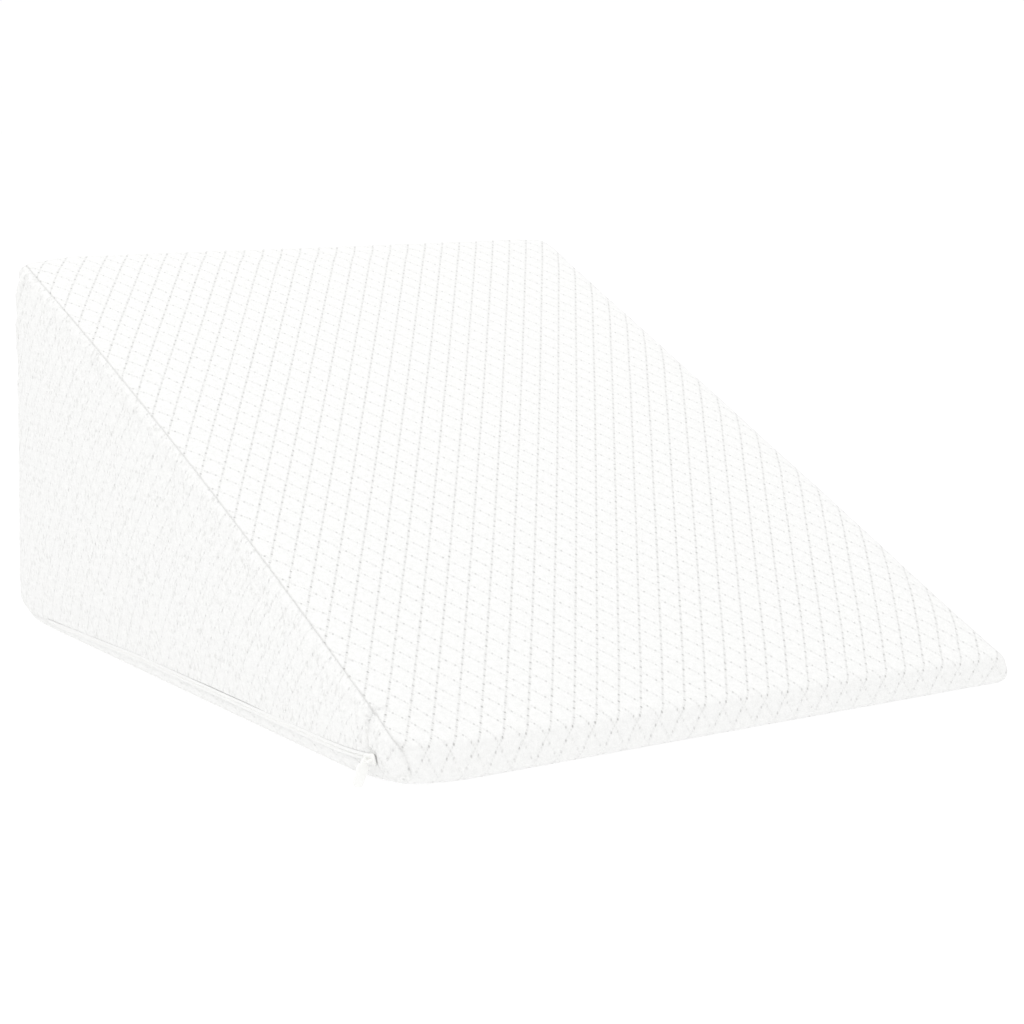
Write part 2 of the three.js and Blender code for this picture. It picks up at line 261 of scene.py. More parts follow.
def section(corners, faces, moved):
    # rows of a closed section with rounded corners: y, z, edge radius, seam turn, and which face
    rows = []

    def reach(length, size, inset):
        return min(max(size - moved * inset, 2), 0.45 * length)

    for i, face in enumerate(faces):
        before, after = faces[i - 1], faces[(i + 1) % 4]
        start, end, nextEnd = corners[i - 1], corners[i], corners[(i + 1) % 4]
        length, nextLength = np.linalg.norm(end - start), np.linalg.norm(nextEnd - end)
        first = start + (end - start) * reach(length, before["corner"][1], before["inset"]) / length
        last = end + (start - end) * reach(length, face["corner"][0], face["inset"]) / length
        after1 = end + (nextEnd - end) * reach(nextLength, face["corner"][1], face["inset"]) / nextLength
        if "steps" in face:
            shares = np.linspace(0, 1, face["steps"] + 1)
        else:
            stations = np.linspace(zipChannel["front"], zipChannel["back"], wedge["baseRows"])
            inner = (stations - first[0]) / (last[0] - first[0])
            shares = np.concatenate([[0], inner[0] * np.array([share for share, _ in wedge["toZip"]]), inner,
                                     inner[-1] + (1 - inner[-1]) * np.array(wedge["rowsBehindZip"])])
        for share in shares:
            rows.append((*(first + (last - first) * share), face["edge"], face["seamTurn"], i))
        for k in range(1, face["cornerSteps"]):
            t = k / face["cornerSteps"]
            a, b = last + (end - last) * t, end + (after1 - end) * t
            mixed = [face[key] + (after[key] - face[key]) * t for key in ("edge", "seamTurn")]
            rows.append((*(a + (b - a) * t), *mixed, i + 0.5))
    return np.array(rows)


def sideOf(name):
    sign = -1 if name == "left" else 1
    nose, tipEdge = wedge["noseHeight"][name], wedge["noseEdge"][name]
    faces = [{"edge": tipEdge, "inset": tipEdge, **face} for face in wedge["faces"]]
    outer = section(outerCorners(nose), faces, 0)
    inner = section(innerCorners(nose, faces), faces, 1)
    turn = np.radians(outer[:, 3])
    zipped, hidden = np.zeros(len(outer), bool), np.zeros(len(outer), bool)
    if name == "left":
        onBase = np.flatnonzero(outer[:, 4] == 0)
        y = outer[onBase, 0]
        zipped[onBase] = (y > zipChannel["front"] - 0.5) & (y < zipChannel["back"] + 0.5)
        height = np.interp(outer[zipped, 0], zipChannel["pathY"], zipChannel["pathZ"])
        turn[zipped] = np.arcsin(1 - height / inner[zipped, 1])
        nearNose = wedge["leftNoseSeam"]
        slopeTurn = math.degrees(turn[outer[:, 4] == 2][0])
        behind = onBase[y > zipChannel["back"] + 0.5]
        known = np.array([behind[0] - 1, behind[-1]])
        turn[behind] = np.interp(behind, known, turn[known])
        beforeZip = onBase[: len(wedge["toZip"]) + 1]
        turn[beforeZip] = np.radians([nearNose["foot"]] + [turned for _, turned in wedge["toZip"]])
        hidden[beforeZip] = True
        hidden[outer[:, 4] == 3.5] = True
        onSlope = outer[:, 4] == 2
        down = np.clip((outer[:, 0] - nearNose["from"]) / (front - nearNose["from"]), 0, 1)
        turn[onSlope] = np.radians(slopeTurn + (nearNose["top"] - slopeTurn) * down[onSlope])
        for part, start, end in ((2.5, "top", "under"), (3, "under", "foot"), (3.5, "foot", "foot")):
            here = np.flatnonzero(outer[:, 4] == part)
            share = (np.arange(len(here)) + 1) / (len(here) + 1)
            turn[here] = np.radians(nearNose[start] + (nearNose[end] - nearNose[start]) * share)
    return {"sign": sign, "nose": nose, "outer": outer, "inner": inner, "turn": turn, "zipped": zipped,
            "hidden": hidden}


def edgeRaw(side, turn, sink=0.0):
    edge = side["outer"][:, 2]
    radius = edge - sink
    share = (radius / edge * np.sin(turn))[:, None]
    at = side["inner"][:, :2] + (side["outer"][:, :2] - side["inner"][:, :2]) * share
    return side["sign"] * (sideX - edge + radius * np.cos(turn)), at[:, 0], at[:, 1]


def turnOver(side, turn, distance):
    edge = side["outer"][:, 2]
    rise = np.linalg.norm(side["outer"][:, :2] - side["inner"][:, :2], axis=1)
    return distance / np.hypot(edge * np.sin(turn), rise * np.cos(turn))


# columns of the mesh round one side edge: on the side panel, and in all
panelLanes, laneCount = 8, 15


def edgeLanes(side):
    # from the flat of the side panel, over the seam, to the flat of the wrap panel
    groove = {key: np.where(side["zipped"], zipChannel[key], seam[key]) for key in ("mouth", "floor", "sink")}

    def at(distance):
        return side["turn"] + turnOver(side, side["turn"], distance)

    near, far = at(-groove["mouth"]), at(groove["mouth"])
    start = np.minimum(0, near - 0.05)
    full = np.full(len(start), math.pi / 2)
    turns = [start + (near - start) * share for share in np.linspace(0, 1, panelLanes)]
    turns += [at(-groove["floor"]), at(groove["floor"])]
    turns += [far + (full - far) * share for share in (0, 0.33, 0.6, 0.8, 1)]
    lanes = [(*edgeRaw(side, turn), np.full(len(start), side["nose"])) for turn in turns]
    # between the nose's foot and the zip the seam is turned in and leaves no groove
    underSlider = side["zipped"] & (side["outer"][:, 0] < zipChannel["sliderEnd"])
    shallow = np.where(underSlider, zipChannel["underSlider"], 1.0)
    depth = groove["sink"] * np.where(side["hidden"], zipChannel["tuckedIn"], shallow)
    sinks = [depth * (k in (panelLanes, panelLanes + 1)) for k in range(laneCount)]
    return lanes, sinks


def pathDistance(places, path):
    # distance of (y, z) places to a line through points, and the share of its length passed there
    path = np.array(path, float)
    best, share = np.full(len(places), 1e9), np.zeros(len(places))
    for k, (a, b) in enumerate(zip(path, path[1:])):
        t = np.clip(((places - a) @ (b - a)) / ((b - a) @ (b - a)), 0, 1)
        far = np.linalg.norm(places - a - t[:, None] * (b - a), axis=1)
        share = np.where(far < best, (k + t) / (len(path) - 1), share)
        best = np.minimum(best, far)
    return best, share


def foldDepth(points):
    depth = np.zeros(len(points))
    onLeft = smoothstep(-points[:, 0], 235, 245)
    for fold in folds:
        far, share = pathDistance(points[:, 1:], fold["path"])
        # a valley, with a low ridge along each side of it, running out at both ends
        off = far / fold["wide"]
        crease = 0.25 * np.exp(-((off - 2.3) ** 2)) - np.exp(-(off**2))
        depth += fold["deep"] * crease * np.minimum(1, 1.6 * np.sin(np.pi * share)) * onLeft
    return depth


def fillPanel(side, lane):
    # triangles over the flat of a side panel, inside the first lane of its edge
    border = np.stack([lane[1], lane[2]], -1)
    step = wedge["panelGrid"]

    def mat(pitch):
        ys, zs = np.arange(front, back, pitch), np.arange(0, backHeight + 10, pitch * 0.866)
        gridY, gridZ = np.meshgrid(ys, zs)
        gridY = gridY + (np.arange(len(zs)) % 2)[:, None] * pitch / 2
        return np.stack([gridY.ravel(), gridZ.ravel()], -1)

    points = mat(step)
    if side["sign"] < 0:
        # finer mats near the folds
        for divided, reach in wedge["finerMats"]:
            finer = mat(step / divided)
            kept, added = (np.min([pathDistance(p, fold["path"])[0] for fold in folds], axis=0)
                           for p in (points, finer))
            points = np.concatenate([points[kept > reach], finer[added < reach]])
    run = np.roll(border, -1, axis=0) - border
    length = np.linalg.norm(run, axis=1)
    outwards = np.stack([run[:, 1], -run[:, 0]], -1) / length[:, None]
    if (outwards * (border - border.mean(0))).sum() < 0:
        outwards = -outwards
    reach = (outwards * border).sum(1)
    good = length > 0.2
    distance = points @ outwards[good].T - reach[good]
    points = points[distance.max(1) < -0.55 * step]
    middle = np.array(wedge["sideMiddle"])
    share = (((points - middle) @ outwards[good].T) / (reach - outwards @ middle)[good]).max(1)
    x = sideX + wedge["sideBulge"] * (1 - np.clip(share, 0, 1) ** 2.5)
    count = len(border)
    flat = [Vector(p) for p in np.concatenate([border, points])]
    made = geometry.delaunay_2d_cdt(flat, [], [list(range(count))], 1, 1e-6)
    origin = [ids[0] for ids in made[3]]
    triangles = np.array([[origin[v] for v in face] for face in made[2]])
    inside = (side["sign"] * x, points[:, 0], points[:, 1], np.full(len(points), side["nose"]))
    return inside, triangles


def wedgeCover():
    left, right = sideOf("left"), sideOf("right")
    rows = len(left["outer"])
    leftLanes, leftSinks = edgeLanes(left)
    rightLanes, rightSinks = edgeLanes(right)
    twin = section(outerCorners(right["nose"]), [{"edge": 18, "inset": 18, **f} for f in wedge["faces"]], 0)

    def middle(x):
        t = (x + sideX) / (2 * sideX)
        place = left["outer"][:, :2] * (1 - t) + twin[:, :2] * t
        nose = left["nose"] * (1 - t) + right["nose"] * t
        return np.full(rows, x), place[:, 0], place[:, 1], np.full(rows, nose)

    flatColumns = [middle(x) for x in np.linspace(-wedge["columnsEnd"], wedge["columnsEnd"], wedge["columns"])]

    def mixed(a, b, t):
        return tuple(p + (q - p) * t for p, q in zip(a, b))

    leftJoin = [mixed(leftLanes[-1], flatColumns[0], t) for t in (0.25, 0.5, 0.75)]
    rightJoin = [mixed(flatColumns[-1], rightLanes[-1], t) for t in (0.25, 0.5, 0.75)]
    columns = leftLanes + leftJoin + flatColumns + rightJoin + rightLanes[::-1]
    count = len(columns)
    raw = [np.array([column[k] for column in columns]) for k in range(4)]
    grid = filled(*raw)
    sink = np.zeros((count, rows))
    for k in range(laneCount):
        sink[k], sink[-1 - k] = leftSinks[k], rightSinks[k]

    leftInside, leftTriangles = fillPanel(left, leftLanes[0])
    rightInside, rightTriangles = fillPanel(right, rightLanes[0])
    leftPoints, rightPoints = filled(*leftInside), filled(*rightInside)

    # pattern places in millimetres: across and along the wrap, or along and up a side panel
    steps = np.linalg.norm(np.diff(grid, axis=0), axis=2)
    across = np.concatenate([np.zeros((1, rows)), np.cumsum(steps, axis=0)])
    across -= across[count // 2]
    centre = grid[count // 2]
    runs = np.linalg.norm(np.roll(centre, -1, axis=0) - centre, axis=1)
    along = np.concatenate([[0], np.cumsum(runs)])

    c, r = np.meshgrid(np.arange(count - 1), np.arange(rows), indexing="ij")
    c, r = c.ravel(), r.ravel()
    after = (r + 1) % rows
    quads = np.stack([c * rows + r, c * rows + after, (c + 1) * rows + after, (c + 1) * rows + r], -1)
    cornerC = np.stack([c, c, c + 1, c + 1], -1)
    cornerR = np.stack([r, r + 1, r + 1, r], -1)
    wrapUv = np.stack([across[cornerC, cornerR % rows], along[cornerR]], -1)
    panelPlace = np.stack([grid[..., 1], grid[..., 2]], -1)
    for side, first, step in ((left, 0, 1), (right, count - 1, -1)):
        outwards = side["outer"][:, :2] - side["inner"][:, :2]
        outwards /= np.linalg.norm(outwards, axis=1)[:, None]
        run = np.zeros(rows)
        for k in range(1, panelLanes + 2):
            here, before = grid[first + step * k], grid[first + step * (k - 1)]
            run = run + np.linalg.norm(here - before, axis=1)
            panelPlace[first + step * k] = panelPlace[first] + outwards * run[:, None]
    panelUv = panelPlace[cornerC, cornerR % rows]
    onPanel = ((c < panelLanes) | (c >= count - 1 - panelLanes))[:, None, None]
    quadUv = np.where(onPanel, panelUv, wrapUv)

    def panelFaces(triangles, firstInside, column):
        return np.where(triangles < rows, column * rows + triangles, firstInside + triangles - rows)

    leftIds = panelFaces(leftTriangles, count * rows, 0)
    rightIds = panelFaces(rightTriangles, count * rows + len(leftPoints), count - 1)
    points = np.concatenate([grid.reshape(-1, 3), leftPoints, rightPoints])

    def facing(ids, sign):
        a, b, d = points[ids[:, 0]], points[ids[:, 1]], points[ids[:, 2]]
        turned = np.cross(b - a, d - a)[:, 0] * sign < 0
        ids[turned] = ids[turned][:, ::-1]
        return ids

    leftIds, rightIds = facing(leftIds, -1), facing(rightIds, 1)
    triangles = np.concatenate([leftIds, rightIds])
    triangleUv = points[triangles][:, :, 1:]
    insideCount = len(leftPoints) + len(rightPoints)
    sinks = np.concatenate([sink.ravel(), np.zeros(insideCount)])
    onSide = np.zeros((count, rows))
    onSide[: panelLanes + 1], onSide[-panelLanes - 1 :] = 1, 1
    onSide = np.concatenate([onSide.ravel(), np.ones(insideCount)])
    seams = {
        "left": filled(*edgeRaw(left, left["turn"]), np.full(rows, left["nose"])),
        "right": filled(*edgeRaw(right, right["turn"]), np.full(rows, right["nose"])),
    }
    return {
        "points": points, "quads": quads, "triangles": triangles,
        "uv": np.concatenate([quadUv.reshape(-1, 2), triangleUv.reshape(-1, 2)]),
        "sinks": sinks, "onSide": onSide, "seams": seams, "left": left, "rows": rows, "count": count,
    }


cover = wedgeCover()
coverTriangles = len(cover["quads"]) * 2 + len(cover["triangles"])
print("cover cut:", len(cover["points"]), "points,", coverTriangles, "triangles")


def meshFrom(name, points, faces):
    mesh = bpy.data.meshes.new(name)
    mesh.from_pydata((points * mm).tolist(), [], faces)
    mesh.validate()
    made = bpy.data.objects.new(name, mesh)
    bpy.context.scene.collection.objects.link(made)
    return made


def normalsOf(thing):
    normals = np.zeros(len(thing.data.vertices) * 3, np.float32)
    thing.data.vertex_normals.foreach_get("vector", normals)
    return normals.reshape(-1, 3).astype(float)


def movePoints(thing, points):
    thing.data.vertices.foreach_set("co", (points * mm).astype(np.float32).ravel())
    thing.data.update()


def wave(points, size, seed):
    # soft noise from -1 to 1 over a length in millimetres
    shift = Vector((seed * 17.3, seed * 5.1, seed * 9.7))
    return np.array([noise.noise(Vector(p) / size + shift) for p in points.tolist()])


def seamDistance(points, seams):
    # for each point the distance to the nearest seam, and the place along it, in millimetres
    tree = KDTree(sum(len(line) for line in seams.values()) * 4)
    along = []
    for line in seams.values():
        run = 0.0
        for a, b in zip(line, np.roll(line, -1, axis=0)):
            length = float(np.linalg.norm(b - a))
            for t in (0, 0.25, 0.5, 0.75):
                tree.insert(a + (b - a) * t, len(along))
                along.append(run + length * t)
            run += length
    tree.balance()
    found = [tree.find(p) for p in points.tolist()]
    return np.array([f[2] for f in found]), np.array([along[f[1]] for f in found])


# The pinned diamonds of the knit, in millimetres: 17.6 across and 28 along
knit = {"across": 17.6, "along": 28.0, "padding": 0.45, "start": (0.32, 0.25)}


def diamondPadding(uv):
    p = uv[:, 0] / knit["across"] + uv[:, 1] / knit["along"] - knit["start"][0]
    q = uv[:, 0] / knit["across"] - uv[:, 1] / knit["along"] - knit["start"][1]
    return np.sqrt(np.abs(np.sin(np.pi * p) * np.sin(np.pi * q)))


# How the filling presses the cover out between its seams
pressing = {
    "voxel": 7.0,
    "pressure": 4.0,
    "frames": 20,
    "spare": 0.006,  # how much larger the cover is than the foam
    "cap": 4.0,
    "edgeHold": 48.0,  # how far from the wedge's edges the cover moves freely
    "zipHold": 30.0,  # and how far from the zip
    "keptClose": 55.0,  # how far from the seams the smaller start has its full depth
    "startSmaller": 2.4,  # how much the filled shape starts inside its pressed one, far from the seams
    "heldWidth": 9.0,  # of the cover along each seam that the seam holds
}


def pressCover(cushion, seams):
    # cloth under pressure on a coarse copy; returns how far each point of the fine cover moves
    trial = cushion.copy()
    trial.data = cushion.data.copy()
    bpy.context.scene.collection.objects.link(trial)
    bpy.context.view_layer.objects.active = trial
    trial.select_set(True)
    remesh = trial.modifiers.new("even out", "REMESH")
    remesh.mode = "VOXEL"
    remesh.voxel_size = pressing["voxel"] * mm
    bpy.ops.object.modifier_apply(modifier=remesh.name)
    before = np.zeros(len(trial.data.vertices) * 3, np.float32)
    trial.data.vertices.foreach_get("co", before)
    before = before.reshape(-1, 3).astype(float) / mm
    distance, _ = seamDistance(before, seams)
    held = trial.vertex_groups.new(name="held by seams")
    for index, (far, height) in enumerate(zip(distance, before[:, 2])):
        weight = max(1 - far / pressing["heldWidth"], 1.0 if height < 3 else 0.0)
        if weight > 0:
            held.add([index], weight, "REPLACE")
    cloth = trial.modifiers.new("cover", "CLOTH")
    settings = cloth.settings
    settings.quality = 6
    settings.mass = 0.25
    settings.tension_stiffness = settings.compression_stiffness = 25
    settings.shear_stiffness = 10
    settings.bending_stiffness = 0.8
    settings.use_pressure = True
    settings.uniform_pressure_force = pressing["pressure"]
    settings.shrink_min = -pressing["spare"]
    settings.vertex_group_mass = held.name
    settings.effector_weights.gravity = 0
    cloth.point_cache.frame_start, cloth.point_cache.frame_end = 1, pressing["frames"]
    scene = bpy.context.scene
    for step in range(1, pressing["frames"] + 1):
        scene.frame_set(step)
    bpy.ops.object.modifier_apply(modifier=cloth.name)
    pressed = np.zeros(len(before) * 3, np.float32)
    trial.data.vertices.foreach_get("co", pressed)
    move = pressed.reshape(-1, 3).astype(float) / mm - before
    length = np.linalg.norm(move, axis=1)
    print("cover pressed:", len(before), "points, mean move", round(float(length.mean()), 2), "mm")
    move *= (pressing["cap"] * np.tanh(length / pressing["cap"]) / np.maximum(length, 1e-6))[:, None]
    scene.frame_set(1)
    bpy.data.objects.remove(trial)
    tree = KDTree(len(before))
    for index, place in enumerate(before.tolist()):
        tree.insert(place, index)
    tree.balance()
    points = cover["points"]
    fine = np.zeros_like(points)
    for index, place in enumerate(points.tolist()):
        near = tree.find_n(place, 5)
        weights = np.array([1 / (found[2] + 1.5) ** 2 for found in near])
        fine[index] = (move[[found[1] for found in near]] * weights[:, None]).sum(0) / weights.sum()
    return fine


filling = {
    "waveSize": 110.0,
    "wave": 0.5,
    "smallWaveSize": 42.0,
    "smallWave": 0.3,
    "seamValley": 0.35,
    "valleyWide": 3.5,
    "seamRidge": 0.4,
    "ridgeAt": 8.0,  # from the seam
    "ridgeWide": 5.0,
    "puckerEvery": 19.0,
    "pucker": 0.4,
}


def shapeCushion():
    faces = cover["quads"].tolist() + cover["triangles"].tolist()
    cushion = meshFrom("cushion_cover", cover["points"], faces)
    layer = cushion.data.uv_layers.new(name="cover")
    layer.data.foreach_set("uv", (cover["uv"] * mm).astype(np.float32).ravel())
    points = cover["points"].copy()
    distance, along = seamDistance(points, cover["seams"])
    onFloor = smoothstep(points[:, 2], 0.5, 14)
    # the foam's long edges hold the cover where it turns over them
    ends = np.array([(back, backHeight), (back, 0), (front, wedge["noseHeight"]["left"]), (front, 0)])
    fromEdge = np.linalg.norm(points[:, None, 1:] - ends, axis=2).min(axis=1)
    free = onFloor * smoothstep(fromEdge, 4, pressing["edgeHold"])
    # and the sewn zip holds it along the foot of the left side
    fromZip, _ = pathDistance(points[:, 1:], list(zip(zipChannel["pathY"], zipChannel["pathZ"])))
    free *= np.where(points[:, 0] < -200, smoothstep(fromZip, 4, pressing["zipHold"]), 1)
    inset = pressing["startSmaller"] * smoothstep(distance, 0, pressing["keptClose"])
    smaller = normalsOf(cushion) * inset[:, None]
    points += (pressCover(cushion, cover["seams"]) - smaller) * free[:, None]
    movePoints(cushion, points)

    normals = normalsOf(cushion)
    soft = filling["wave"] * wave(points, filling["waveSize"], 1)
    soft = soft + filling["smallWave"] * wave(points, filling["smallWaveSize"], 2)
    gather = np.array([noise.fractal(Vector((s / filling["puckerEvery"], 3.7, 0)), 1.0, 2.3, 3) for s in along])
    fromRidge = (distance - filling["ridgeAt"]) / filling["ridgeWide"]
    ridge = np.exp(-(fromRidge**2)) * (filling["seamRidge"] * 0.5 + filling["pucker"] * gather)
    valley = -filling["seamValley"] * np.exp(-((distance / filling["valleyWide"]) ** 2))
    points += normals * ((soft + ridge + valley + foldDepth(cover["points"])) * onFloor)[:, None]
    points[:, 2] = np.maximum(points[:, 2], 0)
    movePoints(cushion, points)

    normals = normalsOf(cushion)
    loopVertex = np.zeros(len(cushion.data.loops), int)
    cushion.data.loops.foreach_get("vertex_index", loopVertex)
    vertexUv = np.zeros((len(points), 2))
    vertexUv[loopVertex] = cover["uv"]
    padding = knit["padding"] * (diamondPadding(vertexUv) - 0.4) * smoothstep(distance, 2.5, 8)
    points += normals * (padding * onFloor - cover["sinks"])[:, None]
    points[:, 2] = np.maximum(points[:, 2], 0)
    movePoints(cushion, points)
    cushion.data.shade_smooth()

    # where the seam shows, where the diamonds are faint, and where the knit is stretched
    onEdge = smoothstep(cover["points"][:, 2], 24, 34)
    x, y, z = cover["points"].T
    onNose = 0.9 * smoothstep(-y, 288, 297) * (1 - smoothstep(z, 8, 26))
    onFoot = 0.95 * (1 - smoothstep(z, 16, 24)) * smoothstep(-x, 225, 240)
    tucked = (y < -279) & (z < 9) & (x < -200)
    marks = {
        "seam": np.exp(-((distance / 0.5) ** 2)) * (0.25 + 0.75 * onEdge) * ~tucked,
        "faint": np.maximum(cover["onSide"], np.maximum(onNose, onFoot)),
        "stretched": cover["onSide"],
    }
    for name, values in marks.items():
        cushion.data.attributes.new(name, "FLOAT", "POINT").data.foreach_set("value", values.astype(np.float32))
    return cushion


cushion = shapeCushion()
print("cushion filled")


# Materials. The cover is a white polyester double knit: matt, and soft to the light at its edges.
knitLook = {
    "yarn": "#F4F4F3",
    # the darker tone of the knit's low places: partly the yarn's own uneven tone, partly painted shade in the
    # knit's hollows
    "hollowShade": "#EFEFEE",
    "pin": "#D2D2D0",
    "hole": "#BDBDBB",
    "seamThread": "#CDCDCB",
    "line": 0.15,  # how much of the pin colour each of these takes
    "pinShare": 0.45,
    "holeShare": 0.7,
    "seamShare": 0.46,
    "onSides": 0.22,  # the share of pins and holes left on the side panels, where the knit is stretched
    "blotch": "#DFDFDD",
    "roughness": 0.92,
    "linePitch": 14.9,  # between neighbouring lines of one direction
    "side": 16.5,  # of one diamond
    "holeAt": 0.288,  # of a side from each crossing
    "pinsPerSide": 7,
}


def coverMaterial():
    look = knitLook
    material, tree, shader = newMaterial("white polyester double knit, pinned in diamonds")
    uv = addNode(tree, "ShaderNodeUVMap", uv_map="cover")
    place = addNode(tree, "ShaderNodeSeparateXYZ", {0: uv})
    across = addNode(tree, "ShaderNodeMath", {0: place.outputs["X"], 1: 1000 / knit["across"]},
                     operation="MULTIPLY")
    along = addNode(tree, "ShaderNodeMath", {0: place.outputs["Y"], 1: 1000 / knit["along"]},
                    operation="MULTIPLY")
    total = addNode(tree, "ShaderNodeMath", {0: across, 1: along}, operation="ADD")
    difference = addNode(tree, "ShaderNodeMath", {0: across, 1: along}, operation="SUBTRACT")
    p = addNode(tree, "ShaderNodeMath", {0: total, 1: knit["start"][0]}, operation="SUBTRACT")
    q = addNode(tree, "ShaderNodeMath", {0: difference, 1: knit["start"][1]}, operation="SUBTRACT")
    groove, pins, holes = [], [], []
    for line, run, strength in ((p, q, 1.15), (q, p, 0.72)):
        off = addNode(tree, "ShaderNodeMath", {0: line, 1: 0.5}, operation="PINGPONG")
        offLine = addNode(tree, "ShaderNodeMath", {0: off, 1: look["linePitch"]}, operation="MULTIPLY")
        fromCrossing = addNode(tree, "ShaderNodeMath", {0: run, 1: 0.5}, operation="PINGPONG")
        toHole = addNode(tree, "ShaderNodeMath", {0: fromCrossing, 1: look["holeAt"]}, operation="SUBTRACT")
        alongHole = addNode(tree, "ShaderNodeMath", {0: toHole, 1: look["side"]}, operation="MULTIPLY")
        pinRun = addNode(tree, "ShaderNodeMath", {0: run, 1: look["pinsPerSide"]}, operation="MULTIPLY")
        pinOff = addNode(tree, "ShaderNodeMath", {0: pinRun, 1: 0.5}, operation="PINGPONG")
        pinPitch = look["side"] / look["pinsPerSide"]
        alongPin = addNode(tree, "ShaderNodeMath", {0: pinOff, 1: pinPitch}, operation="MULTIPLY")
        holeGap = addNode(tree, "ShaderNodeCombineXYZ", {0: offLine, 1: alongHole})
        pinGap = addNode(tree, "ShaderNodeCombineXYZ", {0: offLine, 1: alongPin})
        holeFar = addNode(tree, "ShaderNodeVectorMath", {0: holeGap}, operation="LENGTH").outputs["Value"]
        pinFar = addNode(tree, "ShaderNodeVectorMath", {0: pinGap}, operation="LENGTH").outputs["Value"]
        holes.append(addNode(tree, "ShaderNodeMapRange", {0: holeFar, 1: 0.4, 2: 1.0, 3: strength, 4: 0.0}))
        pins.append(addNode(tree, "ShaderNodeMapRange", {0: pinFar, 1: 0.25, 2: 0.8, 3: strength, 4: 0.0}))
        groove.append(addNode(tree, "ShaderNodeMapRange", {0: offLine, 1: 0.0, 2: 1.6, 3: strength, 4: 0.0},
                              interpolation_type="SMOOTHSTEP"))
    hole = addNode(tree, "ShaderNodeMath", {0: holes[0], 1: holes[1]}, operation="MAXIMUM")
    pin = addNode(tree, "ShaderNodeMath", {0: pins[0], 1: pins[1]}, operation="MAXIMUM")
    line = addNode(tree, "ShaderNodeMath", {0: groove[0], 1: groove[1]}, operation="MAXIMUM")

    # stitches of about 1.1 mm are too fine to show, so the loops are drawn 2 mm wide
    scaled = addNode(tree, "ShaderNodeMapping", {"Vector": uv, "Scale": (480.0, 560.0, 1.0)})
    loops = addNode(tree, "ShaderNodeTexVoronoi", {"Vector": scaled, "Scale": 1.0, "Randomness": 0.7},
                    voronoi_dimensions="2D")
    cloud = addNode(tree, "ShaderNodeTexNoise", {"Vector": uv, "Scale": 260.0, "Detail": 4.0, "Roughness": 0.6},
                    noise_dimensions="2D")
    sideMark = addNode(tree, "ShaderNodeAttribute", attribute_name="faint")
    faint = addNode(tree, "ShaderNodeMapRange", {0: sideMark.outputs["Fac"], 3: 1.0, 4: look["onSides"]})
    # the pins don't all grip alike
    grip = addNode(tree, "ShaderNodeTexNoise", {"Vector": uv, "Scale": 300.0, "Detail": 1.0},
                   noise_dimensions="2D")
    gripShare = addNode(tree, "ShaderNodeMapRange",
                        {0: grip.outputs["Fac"], 1: 0.35, 2: 0.65, 3: 0.45, 4: 1.15})
    lineShare = addNode(tree, "ShaderNodeMath", {0: line, 1: look["line"]}, operation="MULTIPLY")
    pinGrip = addNode(tree, "ShaderNodeMath", {0: pin, 1: gripShare}, operation="MULTIPLY")
    holeGrip = addNode(tree, "ShaderNodeMath", {0: hole, 1: gripShare}, operation="MULTIPLY")
    pinShare = addNode(tree, "ShaderNodeMath", {0: pinGrip, 1: look["pinShare"]}, operation="MULTIPLY")
    holeShare = addNode(tree, "ShaderNodeMath", {0: holeGrip, 1: look["holeShare"]}, operation="MULTIPLY")
    # on the stretched side panels the loops open in uneven upright specks, about 3 by 5 mm
    upright = addNode(tree, "ShaderNodeMapping", {"Vector": uv, "Scale": (330.0, 210.0, 1.0)})
    speck = addNode(tree, "ShaderNodeTexNoise",
                    {"Vector": upright, "Scale": 1.0, "Detail": 2.0, "Roughness": 0.6}, noise_dimensions="2D")
    stretched = addNode(tree, "ShaderNodeAttribute", attribute_name="stretched")
    opened = addNode(tree, "ShaderNodeMapRange",
                     {0: speck.outputs["Fac"], 1: 0.47, 2: 0.3, 3: 0.0, 4: 0.8})
    patch = addNode(tree, "ShaderNodeTexNoise", {"Vector": uv, "Scale": 55.0, "Detail": 2.0},
                    noise_dimensions="2D")
    patchShare = addNode(tree, "ShaderNodeMapRange",
                         {0: patch.outputs["Fac"], 1: 0.38, 2: 0.62, 3: 0.1, 4: 1.0})
    patchy = addNode(tree, "ShaderNodeMath", {0: opened, 1: patchShare}, operation="MULTIPLY")
    speckShare = addNode(tree, "ShaderNodeMath", {0: patchy, 1: stretched.outputs["Fac"]}, operation="MULTIPLY")
    seamMark = addNode(tree, "ShaderNodeAttribute", attribute_name="seam")
    seamShare = addNode(tree, "ShaderNodeMath", {0: seamMark.outputs["Fac"], 1: look["seamShare"]},
                        operation="MULTIPLY")

    # the knit's tone varies with the cloud noise and is darkest where that noise sets the bump lowest: partly
    # the yarn's own uneven tone, partly painted shade in the knit's hollows
    clear = addNode(tree, "ShaderNodeMapRange", {0: cloud.outputs["Fac"], 1: 0.3, 2: 0.62})
    colour = addNode(tree, "ShaderNodeMix", {0: clear, 6: toLinear(look["hollowShade"]), 7: toLinear(look["yarn"])},
                     data_type="RGBA").outputs[2]
    for share, tone, fades in ((speckShare, "blotch", False), (lineShare, "pin", True), (pinShare, "pin", True),
                               (holeShare, "hole", True), (seamShare, "seamThread", False)):
        if fades:
            share = addNode(tree, "ShaderNodeMath", {0: share, 1: faint}, operation="MULTIPLY")
        colour = addNode(tree, "ShaderNodeMix", {0: share, 6: colour, 7: toLinear(look[tone])},
                         data_type="RGBA").outputs[2]
    tree.links.new(colour, shader.inputs["Base Color"])

